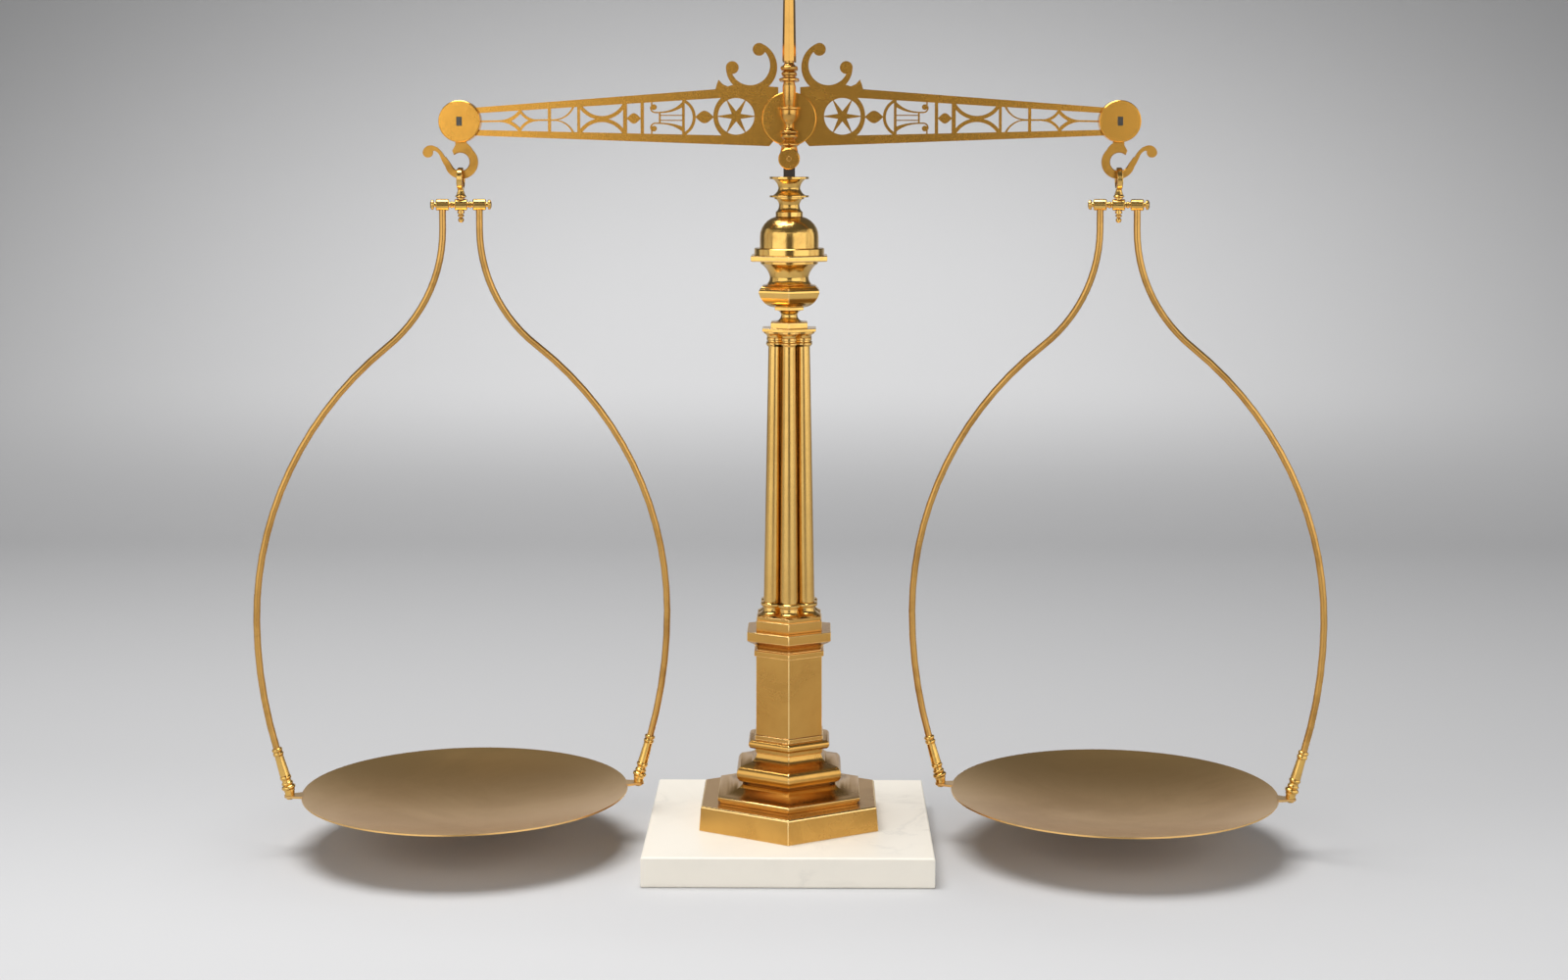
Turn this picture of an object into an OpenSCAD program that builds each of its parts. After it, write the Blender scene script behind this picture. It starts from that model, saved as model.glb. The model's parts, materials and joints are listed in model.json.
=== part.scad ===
// Counter balance of polished brass on a marble slab: a hexagonal pedestal and a cluster
// of six shafts carry a yoke, on which a pierced beam rocks and holds two hanging pans.
// The column's axis is Z, the beam lies along X and the front of the scale faces -Y.

/* [Marble slab] */
// Side of the square slab
slab_w = 262; // [240:1:270]
// Thickness of the slab
slab_h = 27.5; // [20:0.5:30]
// Easing of the slab's edges
slab_edge = 1.2; // [0.5:0.1:3]

/* [Hexagonal pedestal] */
// Corner radius of the plinth at its foot
plinth_r = 95.5; // [85:0.5:100]
// Height of the plinth's side below its easing
plinth_side_h = 21.6; // [15:0.1:22]
// Corner radius of the band of the stepped foot
foot_r = 76; // [70:0.5:80]
// Corner radius of the top of the stepped foot
foot_top_r = 50.4; // [46:0.1:60]
// Corner radius of the large torus at its widest
torus_r = 56.2; // [50:0.1:58]
// Corner radius of the plain die
die_r = 35.3; // [32:0.1:40]
// Height of the plain die
die_h = 74.6; // [50:0.1:90]
// Corner radius of the pedestal's cap
cap_r = 44.9; // [42:0.1:50]
// Corner radius of the seat under the six shafts
seat_r = 35.2; // [34:0.1:38]

/* [Six shafts] */
// Distance of the shafts' axes from the column's axis at their feet
shaft_foot_ring = 17.8; // [17.5:0.1:18.5]
// Distance of the shafts' axes from the column's axis at their heads
shaft_head_ring = 15.15; // [14.9:0.05:16]
// Radius of a shaft at its foot
shaft_foot_r = 8.35; // [7:0.05:8.6]
// Radius of a shaft at its head
shaft_head_r = 6.15; // [5:0.05:6.3]
// Height of the shafts between base and capital
shaft_h = 239; // [180:1:260]
// Outer radius of the post inside the six shafts
core_r = 8.6; // [7:0.1:8.8]

/* [Head of the column] */
// Corner radius of the abacus plate
abacus_r = 28.7; // [27:0.1:32]
// Corner radius of the bowl at its widest
bowl_r = 32.3; // [28:0.1:36]
// Corner radius of the cornice
cornice_r = 40.8; // [38:0.1:44]
// Radius of the round plate under the dome
dome_plate_r = 32.6; // [30:0.1:36]
// Radius of the dome
dome_r = 27.4; // [24:0.1:29]
// Radius of the spool's flanges
spool_r = 18.3; // [16:0.1:20]

/* [Tie rod] */
// Radius of the steel rod through the column
tie_r = 4.5; // [3:0.1:5]
// Side of the rod's square head
tie_head_w = 10.6; // [9.5:0.1:12]
// Height of the square head that shows under the barrel
tie_head_h = 6.8; // [4:0.1:10]
// Radius of the nut's counterbore under the slab
counterbore_r = 15; // [13:0.5:18]
// Depth of the counterbore
counterbore_h = 12; // [11:0.5:16]

/* [Yoke and uprights] */
// Radius of the horizontal barrel
barrel_r = 9.8; // [9:0.1:12]
// Length of the barrel
barrel_l = 56; // [54:0.5:62]
// Radius of the recess in the barrel's ends
barrel_recess_r = 7.2; // [5:0.1:8]
// Distance of an upright's axis from the beam's mid plane
upright_y = 17; // [16.5:0.1:18]
// Height of the beam's knife above the barrel's axis
pivot_rise = 36.8; // [36.4:0.1:38]
// Height of the octagonal spires
spire_h = 169; // [140:1:172]
// Corner radius of a spire at its foot
spire_foot_r = 6.24; // [5.5:0.02:6.8]
// Corner radius of a spire at its tip
spire_tip_r = 3.75; // [3:0.05:4.5]

/* [Beam] */
// Distance from the centre knife to an end knife
arm_l = 305; // [295:1:315]
// Drop of the end knives below the centre knife
end_drop = 2.2; // [0:0.1:4]
// Thickness of the beam plate
beam_t = 5; // [4.5:0.1:5.5]
// Height of the beam's top edge above the knife, beside the scrolls
beam_top_root = 27.6; // [26:0.1:29]
// Height of the beam's top edge above the knife, at the end plates
beam_top_end = 10.9; // [10:0.1:13]
// Depth of the beam's lower edge below the knife, beside the centre
beam_low_root = 23.5; // [22:0.1:24.5]
// Depth of the beam's lower edge below the knife, at the end plates
beam_low_end = 15.6; // [14:0.1:17]
// Width of the rails beside the centre
rail_root_w = 8.4; // [6:0.1:9]
// Width of the rails at the end plates
rail_end_w = 5.4; // [4:0.1:6]
// Radius of the centre discs
disc_r = 25.2; // [24.6:0.1:26]
// Thickness of a centre disc
disc_t = 3; // [2:0.1:3.6]
// Radius of the end plates
cheek_r = 19.4; // [18.6:0.1:21]
// Thickness of an end plate
cheek_t = 4.5; // [3:0.1:5.5]
// Width of the knives
knife_w = 5; // [4:0.1:5.4]
// Height of the knives
knife_h = 8; // [7:0.1:8.4]
// Height of the pointer's tip above the centre knife
pointer_h = 176; // [120:1:185]

/* [Pierced work] */
// Distance of the star's centre from the centre knife
star_u = 49.1; // [48:0.1:52]
// Radius of the star's opening
star_r = 16.9; // [15:0.1:17.5]
// Radius of the valleys between the star's rays
star_valley_r = 4.7; // [3.5:0.1:6]
// Width of the ring round the star, on its outer side
star_ring_w = 4.2; // [3:0.1:5]
// From the star's centre to the bar that closes the lyre's bow
almond_panel_w = 48.8; // [46:0.1:52]
// Height of the almond
almond_h = 11.6; // [8:0.1:14]
// From the lyre's bar to the post before the drop
lyre_panel_w = 38.1; // [36:0.1:42]
// From the lyre's bar to its head bar
lyre_w = 21.9; // [20:0.1:23]
// Width of the panel with the drop
drop_panel_w = 15.9; // [14:0.1:20]
// Height of the drop
drop_h = 9.7; // [7:0.1:12]
// Width of the panel with the saltire
saltire_panel_w = 43; // [40:0.1:46]
// Width of the panel with the half saltire
half_panel_w = 27.1; // [25:0.1:30]
// Width of the slender bars
slender_w = 1.6; // [1.2:0.1:2.2]
// Distance of the scroll's centre from the centre knife
scroll_u = 34.8; // [34:0.1:37]
// Height of the scroll's centre above the centre knife
scroll_v = 47.6; // [46:0.1:50]
// Radius of the large scroll over the beam
scroll_r = 23.7; // [22:0.1:24]
// Width of the large scroll's band
scroll_w = 5.3; // [4:0.1:6.5]
// Radius of the balls at the scroll's ends
scroll_ball_r = 5.9; // [4.5:0.1:7]

/* [Hooks] */
// Thickness of a hook
hook_t = 4; // [3:0.1:4.2]
// From the end knife down to the bottom of the hook's throat
hook_drop = 45.8; // [44:0.1:50]
// Radius of the throat
throat_r = 8.3; // [7.8:0.1:9]
// Outer radius of the hook's bend
bend_r = 15.5; // [14.6:0.1:17]
// Radius of the ball at the tail's end
tail_ball_r = 4.8; // [4:0.1:5.6]

/* [Eyes and crossbars] */
// Inner radius of the eye
eye_r = 7.7; // [7.5:0.1:8.4]
// Thickness of the eye's ring, outwards
eye_wall = 2.9; // [2:0.1:3.4]
// Width of the eye's ring along its axis
eye_w = 5.5; // [4:0.1:6.5]
// Radius of the swivel stem under the eye
stem_r = 2.4; // [1.8:0.1:2.7]
// From the eye's ring down to the shoulder over the crossbar
collar_h = 7.7; // [6:0.1:12]
// Radius of the crossbar's drums
drum_r = 5.4; // [5:0.1:6.5]
// Length of the crossbar's middle drum
drum_l = 11.8; // [9:0.1:13]
// Length of each outer drum
end_drum_l = 12.2; // [10:0.1:14]
// Distance of the rods' tops from the crossbar's middle
rod_top_x = 17; // [16.5:0.1:19]

/* [Rods of the pans] */
// Radius of the rods
rod_r = 3.175; // [2.5:0.025:3.5]
// Straight length of a rod below its drum
rod_straight = 17.4; // [5:0.1:40]
// Radius of the upper bend, which leads outwards
rod_bend_r = 140; // [80:1:180]
// Reach of a rod's axis beyond the pan's rim at its widest
belly_out = 38.6; // [30:0.1:40]
// Height of the widest place above the pan's rim
belly_rise = 164; // [140:1:190]
// Lean of the ferrules
ferrule_lean = 15.7; // [12:0.1:18]

/* [Pans] */
// Outer radius of a pan
pan_r = 152.4; // [146:0.1:154]
// Depth of a pan
pan_depth = 20; // [15:0.1:24]
// Thickness of the sheet
pan_t = 1.5; // [1:0.1:2]
// Height of the pans over the surface that the scale stands on
pan_floor_gap = 32; // [28:0.5:36]
// Thickness of the ears
ear_t = 2; // [1.5:0.1:3]
// Width of an ear where it leaves the rim
ear_w = 18; // [14:0.5:24]
// Turn of the pans at rest, away from the beam's line
pan_turn = 9; // [0:1:20]

/* [Clearances] */
// Between fixed parts that fit into each other
fit_gap = 0.1; // [0.05:0.01:0.2]
// Round pieces that turn or hang
run_gap = 0.3; // [0.2:0.05:0.35]

/* [Hidden] */

$fn = 64;
brass = "#c8973f";
bronze = "#a8783a";
steel = "#5d5a55";
marble = "#eceae4";

// A turning is a first radius and steps of [rise, radius at the top, swell of the step];
// a negative swell is a hollow.
plinth_turning = [[plinth_side_h, plinth_r - 1.9, 0], [1.2, plinth_r - 3.1, 0]];
foot_turning = [
    [2.6, foot_r - 2.5, 0], [0, foot_r, 0], [3.3, foot_r, 0], [0.8, foot_r - 4, 0],
    [8, foot_top_r, -2.4], [0, foot_top_r - 6.4, 0], [2.4, foot_top_r - 6.4, 0]
];
base_turning = [
    [14.3, torus_r - 3.9, 4.8], [2.4, torus_r - 13.2, 0], [9.1, die_r - 0.7, -2.2],
    [0, die_r + 0.7, 0], [4.4, die_r + 0.7, 0], [0, die_r + 4.2, 0], [8.1, die_r + 4.2, 4],
    [0, die_r + 1.1, 0], [4, die_r + 1.1, 0]
];
cap_turning = [
    [5.1, die_r + 2.1, 0], [0, die_r - 1.3, 0], [7.7, cap_r - 3.9, -1.6], [2.4, cap_r, 0],
    [8.2, cap_r, 0]
];
seat_turning = [
    [9.6, seat_r, 0], [0, seat_r - 1.8, 0], [0.8, seat_r - 1.8, 0], [0, seat_r - 1, 0],
    [3.3, seat_r - 1, 0]
];
shaft_base_turning = [
    [1.2, shaft_foot_r + 5.85, 0], [0.5, shaft_foot_r + 4.85, 0], [6, shaft_foot_r + 0.35, -1.4],
    [0.8, shaft_foot_r + 0.35, 0], [0.3, shaft_foot_r + 1.85, 0], [1, shaft_foot_r + 2.75, 0],
    [1.9, shaft_foot_r + 2.75, 0], [1, shaft_foot_r + 1.85, 0]
];
shaft_capital_turning = [
    [0.8, shaft_head_r + 1.15, 0], [0.9, shaft_head_r + 2.15, 0], [1.4, shaft_head_r + 2.15, 0],
    [0.9, shaft_head_r + 0.75, 0], [1.2, shaft_head_r + 0.65, 0], [0.5, shaft_head_r + 1.65, 0],
    [1.9, shaft_head_r + 1.65, 0], [0.5, shaft_head_r + 1.05, 0],
    [3.9, shaft_head_r + 4.25, -0.8], [1.7, shaft_head_r + 4.25, 0]
];
abacus_turning = [
    [2.9, abacus_r, 0], [0, abacus_r - 9, 0], [4.9, abacus_r - 9, 0], [1, abacus_r - 10, 0]
];
lower_neck_turning = [[6, 7.6, -1.5], [4.7, 12.9, -1.2]];
bowl_turning = [
    [2.8, 15.4, 0], [0, 16, 0], [13.2, bowl_r, 3.2], [4.2, bowl_r - 1.6, 0.7],
    [2.8, bowl_r - 6, 0.6], [0.8, bowl_r - 9.4, 0], [0.6, bowl_r - 9.4, 0]
];
upper_neck_turning = [[6.8, 18.3, -0.8], [11.9, 26.8, -1.5], [2.5, 26.8, 0]];
cornice_turning = [[0.8, cornice_r, 0], [3.9, cornice_r, 0], [0.8, cornice_r - 0.8, 0]];
dome_plate_turning = [[5.7, dome_plate_r, 0], [0.8, dome_plate_r - 0.8, 0]];
dome_turning = [[10.2, dome_r, 0], [18.8, 12.6, 4.1]];
spool_turning = [
    [4.2, 12.6, 0], [6, 9.6, -0.8], [6, 12.5, -0.8], [0, 13.8, 0], [1.7, 13.8, 0],
    [0, spool_r, 0], [1.8, spool_r, 0], [0, spool_r - 2.8, 0], [6.5, 10.1, -1],
    [8.6, spool_r - 2.8, -1.2], [0, spool_r, 0], [2.1, spool_r, 0]
];
upright_foot = 6;
upright_turning = [
    [4.7, 7.1, 0], [1.9, 9.2, -0.3], [1.1, 9.2, 0], [3.5, 4.4, -0.8], [1.4, 5.5, 0],
    [4.7, 5.5, 2.1], [0, 6.6, 0], [2.8, 6.6, 1.3], [2.6, 3.8, -0.5], [3.8, 4.1, 0],
    [1.8, 5.1, 0], [10.4, 8.1, 1.2], [1, 10.1, 0], [1.4, 10.1, 0], [0.6, 4.4, 0],
    [18.8, 6, 0.5], [4, 5, 0], [1.2, 9.2, 0], [1.6, 9.2, 0], [1.6, 5.2, 0], [1, 5.2, 0],
    [4, 5.2, 1.9], [1.2, 4.6, 0], [0, 6.2, 0], [4, 6.2, 1.8], [2.8, 4.2, -0.3], [1.5, 4.2, 0]
];
bridge_finial_turning = [
    [1.2, 4.4, 0], [2.4, 2.2, -0.3], [1.4, 2.2, 0], [0, 2.6, 0], [6.5, 2, 2.1], [1.5, 0.6, 0]
];
ferrule_turning = [
    [1.8, 5, 0], [4, 5, 1.5], [0.6, 4.4, 0], [2.8, 4.4, 1], [2.2, 4.2, 0], [4.2, 4.2, 1.2],
    [0, 4.8, 0], [17.9, 4.1, 0], [1.5, 4.1, 0], [3.6, 4.1, 0.9], [0.4, 4.1, 0],
    [3.4, 4.1, 0.9]
];

// Total rise of a turning's steps
function rise(steps, i = 0) = i == len(steps) ? 0 : steps[i][0] + rise(steps, i + 1);

// Points of an arc from p to q that swells to its right by s
function swell(p, q, s, n = 6) = let (
        d = q - p,
        c = norm(d),
        side = [d[1], -d[0]] / c,
        r = (c * c / 4 + s * s) / (2 * abs(s)),
        centre = (p + q) / 2 + side * (s - sign(s) * r),
        from = atan2(p[1] - centre[1], p[0] - centre[0]),
        sweep = 4 * atan(2 * s / c)
    ) [for (i = [0:n]) let (a = from + sweep * i / n) centre + r * [cos(a), sin(a)]];

// Points of an arc about c
function arc(c, r, from, to, n = 8) = [
    for (i = [0:n]) let (a = from + (to - from) * i / n) c + r * [cos(a), sin(a)]
];

// All points but the first
function later(points) = [for (i = [1:len(points) - 1]) points[i]];

// Outer line of a turning, from its foot to its head
function turned(r, steps, z = 0, i = 0) = i == len(steps) ? [[r, z]] : let (
        foot = [r, z],
        head = [steps[i][1], z + steps[i][0]],
        s = steps[i][2]
    ) concat(s == 0 ? [foot] : [for (p = swell(foot, head, s)) if (p != head) p],
        turned(head[0], steps, head[1], i + 1));

function mix(a, b, t) = a + (b - a) * t;

// Heights of the seats up the column
plinth_z = slab_h;
foot_z = plinth_z + rise(plinth_turning);
base_z = foot_z + rise(foot_turning);
die_z = base_z + rise(base_turning);
cap_z = die_z + die_h;
seat_z = cap_z + rise(cap_turning);
cluster_z = seat_z + rise(seat_turning);
shaft_z = cluster_z + rise(shaft_base_turning);
capital_z = shaft_z + shaft_h;
abacus_z = capital_z + rise(shaft_capital_turning);
lower_neck_z = abacus_z + rise(abacus_turning);
bowl_z = lower_neck_z + rise(lower_neck_turning);
upper_neck_z = bowl_z + rise(bowl_turning);
cornice_z = upper_neck_z + rise(upper_neck_turning);
dome_plate_z = cornice_z + rise(cornice_turning);
dome_z = dome_plate_z + rise(dome_plate_turning);
spool_z = dome_z + rise(dome_turning);
spool_top_z = spool_z + rise(spool_turning);
barrel_z = spool_top_z + tie_head_h + barrel_r;
pivot_z = barrel_z + pivot_rise;
spire_z = barrel_z + upright_foot + rise(upright_turning);
spire_top_z = spire_z + spire_h;
bridge_h = 5;

// Heights of the parts that hang
knife_z = pivot_z - end_drop;
throat_z = knife_z - hook_drop;
throat_c = hook_drop - throat_r;
eye_z = throat_z + run_gap - eye_r;
shoulder_z = eye_z - eye_r - eye_wall - collar_h;
crossbar_z = shoulder_z - run_gap - drum_r;
nut_z = crossbar_z - drum_r - run_gap;
rim_z = pan_floor_gap + pan_depth + pan_t;
washer_h = 3.9;
ferrule_l = rise(ferrule_turning);
ferrule_foot_z = rim_z + washer_h;
ferrule_top_z = ferrule_foot_z + ferrule_l * cos(ferrule_lean);
belly_z = rim_z + belly_rise;
rod_bend_z = crossbar_z - drum_r - rod_straight;

// The rod runs out by one bend and back by a second, which together span these
belly_x = pan_r + belly_out;
spread_x = belly_x - rod_top_x;
spread_z = rod_bend_z - belly_z;
rod_angle = 2 * atan(spread_x / spread_z);
rod_back_r = spread_z / sin(rod_angle) - rod_bend_r;
rod_low_r = (belly_z - ferrule_top_z) / sin(ferrule_lean);
ferrule_top_x = belly_x - rod_low_r * (1 - cos(ferrule_lean));
stud_x = ferrule_top_x - ferrule_l * sin(ferrule_lean);

// Bores and depths
stem_grip = 2.1;
tie_bore_r = tie_r + 2 * fit_gap;
tenon_r = 3.5;
tenon_l = 6;
rod_socket_h = 9;
stud_r = 2;
ear_tip_r = 5;
recess_h = 1.5;
screw_r = 1.2;
screw_l = 8;
screw_head_r = 2.1;
screw_head_h = 0.9;
root_u = 65;
ear_u = 10.1;
ear_low_v = 22;
ear_top_v = 29.3;
ear_end_u = 19.4;
ear_end_v = 29.9;
notch_u = 14;
notch_v = -20;
notch_foot_u = 18.5;
spur_u = 65.3;
spur_v = 36.2;
post_w = 3;
saltire_post_w = 3.6;
lyre_bar_w = 2.4;

// Places along the beam, from the centre knife outwards
end_u = arm_l - cheek_r;
lyre_u = star_u + almond_panel_w;
lyre_head_u = lyre_u + lyre_w;
drop_u = lyre_u + lyre_panel_w;
saltire_u = drop_u + drop_panel_w;
half_u = saltire_u + saltire_panel_w;
lozenge_u = half_u + half_panel_w;
inner_join_u = mix(lozenge_u, end_u, 0.176);
outer_join_u = mix(lozenge_u, end_u, 0.739);

function beam_share(u) = (u - root_u) / (end_u - root_u);
function top_edge(u) = mix(beam_top_root, beam_top_end, beam_share(u));
function low_edge(u) = -mix(beam_low_root, beam_low_end, beam_share(u));
function rail_w(u) = mix(rail_root_w, rail_end_w, beam_share(u));
function top_rail(u) = top_edge(u) - rail_w(u);
function low_rail(u) = low_edge(u) + rail_w(u);
function rail(u, s) = s > 0 ? top_rail(u) : low_rail(u);
function mid_v(u) = (top_rail(u) + low_rail(u)) / 2;

// A turning about Z
module turn(r, steps) {
    rotate_extrude() polygon(concat([[0, 0]], turned(r, steps), [[0, rise(steps)]]));
}

// A six-sided moulding with a corner to the front
module hex_turn(r, steps) {
    rotate([0, 0, 30])
        rotate_extrude($fn = 6)
            polygon(concat([[0, 0]], turned(r, steps), [[0, rise(steps)]]));
}

// A piece of the column at height z, bored for the tie rod
module bored(z, h) {
    translate([0, 0, z]) difference() {
        children();
        translate([0, 0, -1]) cylinder(r = tie_bore_r, h = h + 2);
    }
}

// A thin outline in the beam's plane, made a plate of thickness t about y = 0
module plate(t, y = 0) {
    translate([0, y + t / 2, 0]) rotate([90, 0, 0]) linear_extrude(height = t) children();
}

module both_sides() {
    children();
    mirror([1, 0, 0]) children();
}

module marble_slab() {
    color(marble) difference() {
        hull() {
            translate([-slab_w / 2 + slab_edge, -slab_w / 2 + slab_edge, 0])
                cube([slab_w - 2 * slab_edge, slab_w - 2 * slab_edge, slab_h]);
            translate([-slab_w / 2, -slab_w / 2, slab_edge])
                cube([slab_w, slab_w, slab_h - 2 * slab_edge]);
        }
        translate([0, 0, -1]) cylinder(r = tie_bore_r, h = slab_h + 2);
        translate([0, 0, -1]) cylinder(r = counterbore_r, h = counterbore_h + 1);
    }
}

module plinth() {
    color(brass) bored(plinth_z, rise(plinth_turning)) hex_turn(plinth_r, plinth_turning);
}

module stepped_foot() {
    color(brass) bored(foot_z, rise(foot_turning)) hex_turn(foot_r - 2.5, foot_turning);
}

module pedestal_base() {
    color(brass) bored(base_z, rise(base_turning)) hex_turn(torus_r - 5.7, base_turning);
}

module pedestal_die() {
    color(brass) bored(die_z, die_h) rotate([0, 0, 30]) cylinder(r = die_r, h = die_h, $fn = 6);
}

module pedestal_cap() {
    color(brass) bored(cap_z, rise(cap_turning)) hex_turn(die_r + 2.1, cap_turning);
}

module column_seat() {
    color(brass) bored(seat_z, rise(seat_turning)) hex_turn(seat_r, seat_turning);
}

// Six copies round the column, one of them in front
module six(ring) {
    for (i = [0:5]) rotate([0, 0, 60 * i - 90]) translate([ring, 0, 0]) children();
}

// Half width of six merged lobes of radius r, phi away from a lobe's axis
function lobed(phi, ring, r, web) = let (d = r * r - pow(ring * sin(phi), 2))
    d < 0 ? web : max(web, ring * cos(phi) + sqrt(d));

// A casting of six lobes that follow a turning, joined by a web, with a lobe in front
module lobed_casting(ring, r, steps, web) {
    sides = 48;
    line = turned(r, steps);
    last = len(line) - 1;
    points = [
        for (p = line, k = [0:sides - 1]) let (
            a = 360 * k / sides,
            d = lobed((a + 30) % 60 - 30, ring, p[0], web)
        ) [d * cos(a - 90), d * sin(a - 90), p[1]]
    ];
    polyhedron(points, tube_faces(last, sides));
}

// Triangles of a closed tube of last + 1 rings, each a turn of so many sides
function tube_faces(last, sides) = let (at = function(i, k) i * sides + k % sides) concat(
    [
        for (i = [0:last - 1], k = [0:sides - 1], half = [0, 1])
            half == 0 ? [at(i, k), at(i + 1, k), at(i, k + 1)]
                : [at(i, k + 1), at(i + 1, k), at(i + 1, k + 1)]
    ],
    [[for (k = [0:sides - 1]) at(0, k)]],
    [[for (k = [sides - 1:-1:0]) at(last, k)]]
);

module cluster_base() {
    color(brass) bored(cluster_z, rise(shaft_base_turning))
        lobed_casting(shaft_foot_ring, shaft_foot_r + 5.4, shaft_base_turning, shaft_foot_ring - 2.8);
}

// A tapering shaft that leans in to the column, cut level at both ends
module colonnette(i) {
    lean = atan((shaft_foot_ring - shaft_head_ring) / shaft_h);
    slope = (shaft_foot_r - shaft_head_r) / shaft_h;
    spare = 1;
    color(brass) translate([0, 0, shaft_z]) rotate([0, 0, 60 * i - 150]) intersection() {
        translate([shaft_foot_ring, 0, 0]) rotate([0, -lean, 0]) translate([0, 0, -spare])
            cylinder(r1 = shaft_foot_r + slope * spare, r2 = shaft_head_r - slope * spare,
                h = shaft_h + 2 * spare);
        translate([0, -shaft_foot_ring, 0])
            cube([2 * shaft_foot_ring, 2 * shaft_foot_ring, shaft_h]);
    }
}

module column_core() {
    color(bronze) bored(shaft_z, shaft_h) cylinder(r = core_r, h = shaft_h);
}

module cluster_capital() {
    color(brass) bored(capital_z, rise(shaft_capital_turning))
        lobed_casting(shaft_head_ring, shaft_head_r + 1, shaft_capital_turning, shaft_head_ring - 2);
}

module abacus() {
    color(brass) bored(abacus_z, rise(abacus_turning)) hex_turn(abacus_r, abacus_turning);
}

module lower_neck() {
    color(brass) bored(lower_neck_z, rise(lower_neck_turning)) turn(13, lower_neck_turning);
}

module bowl() {
    color(brass) bored(bowl_z, rise(bowl_turning)) hex_turn(15.4, bowl_turning);
}

module upper_neck() {
    color(brass) bored(upper_neck_z, rise(upper_neck_turning)) turn(20.5, upper_neck_turning);
}

module cornice() {
    color(brass) bored(cornice_z, rise(cornice_turning))
        hex_turn(cornice_r - 0.8, cornice_turning);
}

module dome_plate() {
    color(brass) bored(dome_plate_z, rise(dome_plate_turning))
        turn(dome_plate_r, dome_plate_turning);
}

module dome() {
    color(brass) bored(dome_z, rise(dome_turning)) turn(dome_r, dome_turning);
}

module spool() {
    color(brass) bored(spool_z, rise(spool_turning)) turn(12.6, spool_turning);
}

// Round rod with a square head, on which the barrel lies in a saddle
module tie_rod() {
    rod_foot_z = 2;
    color(steel) {
        translate([0, 0, rod_foot_z]) cylinder(r = tie_r, h = spool_top_z - rod_foot_z);
        difference() {
            translate([-tie_head_w / 2, -tie_head_w / 2, spool_top_z])
                cube([tie_head_w, tie_head_w, tie_head_h + barrel_r / 2]);
            translate([0, 0, barrel_z]) rotate([90, 0, 0])
                cylinder(r = barrel_r + fit_gap, h = barrel_l, center = true);
        }
        translate([0, 0, spool_top_z]) cylinder(r = tenon_r, h = tie_head_h + tenon_l);
    }
}

module tie_nut() {
    flange_h = 2;
    nut_h = 7;
    color(steel) difference() {
        union() {
            translate([0, 0, counterbore_h - flange_h])
                cylinder(r = counterbore_r - 2, h = flange_h);
            translate([0, 0, counterbore_h - flange_h - nut_h])
                cylinder(r = counterbore_r - 5, h = nut_h, $fn = 6);
        }
        cylinder(r = tie_r + fit_gap, h = counterbore_h + 1);
    }
}

module along_y(z) {
    translate([0, 0, z]) rotate([90, 0, 0]) children();
}

module yoke_barrel() {
    rim = 0.8;
    color(brass) difference() {
        along_y(barrel_z) {
            cylinder(r = barrel_r, h = barrel_l - 2 * rim, center = true);
            for (s = [-1, 1]) scale([1, 1, s]) translate([0, 0, barrel_l / 2 - rim])
                cylinder(r1 = barrel_r, r2 = barrel_r - rim, h = rim);
        }
        for (s = [-1, 1]) {
            translate([0, s * barrel_l / 2, barrel_z]) rotate([90, 0, 0])
                cylinder(r = barrel_recess_r, h = 2 * recess_h, center = true);
            translate([0, s * barrel_l / 2, barrel_z]) rotate([90, 0, 0])
                cylinder(r = screw_r + fit_gap, h = 2 * (screw_l + recess_h + 1), center = true);
            translate([0, s * upright_y, barrel_z]) cylinder(r = tenon_r + fit_gap, h = barrel_r + 1);
        }
        translate([0, 0, barrel_z - barrel_r - 1])
            cylinder(r = tenon_r + fit_gap, h = tenon_l + 1 + fit_gap);
    }
}

module yoke_screws() {
    seat_y = barrel_l / 2 - recess_h;
    color(brass) for (s = [-1, 1]) translate([0, s * seat_y, barrel_z]) rotate([-90 * s, 0, 0]) {
        cylinder(r = screw_head_r, h = screw_head_h);
        translate([0, 0, -screw_l]) cylinder(r = screw_r, h = screw_l + screw_head_h / 2);
    }
}

// The pocket for the bearing block opens towards the beam
bearing_low = 2.8;
bearing_top = 1.2;
bearing_w = 7;
bearing_outer_y = upright_y - 0.8;
bearing_inner_y = upright_y - 5.8;
pocket_top = knife_h + 1.6;

module upright() {
    color(brass) translate([0, -upright_y, 0]) {
        difference() {
            translate([0, 0, barrel_z + upright_foot]) turn(8.2, upright_turning);
            along_y(barrel_z) cylinder(r = barrel_r + fit_gap / 2, h = 4 * barrel_r, center = true);
            translate([-bearing_w / 2 - fit_gap, upright_y - bearing_outer_y - fit_gap,
                    pivot_z - bearing_low - fit_gap])
                cube([bearing_w + 2 * fit_gap, upright_y, bearing_low + pocket_top]);
        }
        translate([0, 0, barrel_z + 2]) cylinder(r = tenon_r, h = barrel_r);
        translate([0, 0, spire_z]) cylinder(r1 = spire_foot_r, r2 = spire_tip_r, h = spire_h, $fn = 8);
        translate([0, 0, spire_top_z - 1]) cylinder(r = 2, h = bridge_h);
    }
}

module front_upright() {
    upright();
}

module rear_upright() {
    mirror([0, 1, 0]) upright();
}

// Hard blocks with a notch, in which the centre knife rocks
module knife_bearings() {
    l = bearing_outer_y - bearing_inner_y;
    w = bearing_w / 2;
    color(steel) translate([0, 0, pivot_z])
        for (s = [-1, 1]) plate(l, s * (bearing_inner_y + bearing_outer_y) / 2)
            polygon([
                [-w, -bearing_low], [w, -bearing_low], [w, bearing_top], [w - 0.5, bearing_top],
                [0, -run_gap], [0.5 - w, bearing_top], [-w, bearing_top]
            ]);
}

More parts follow.
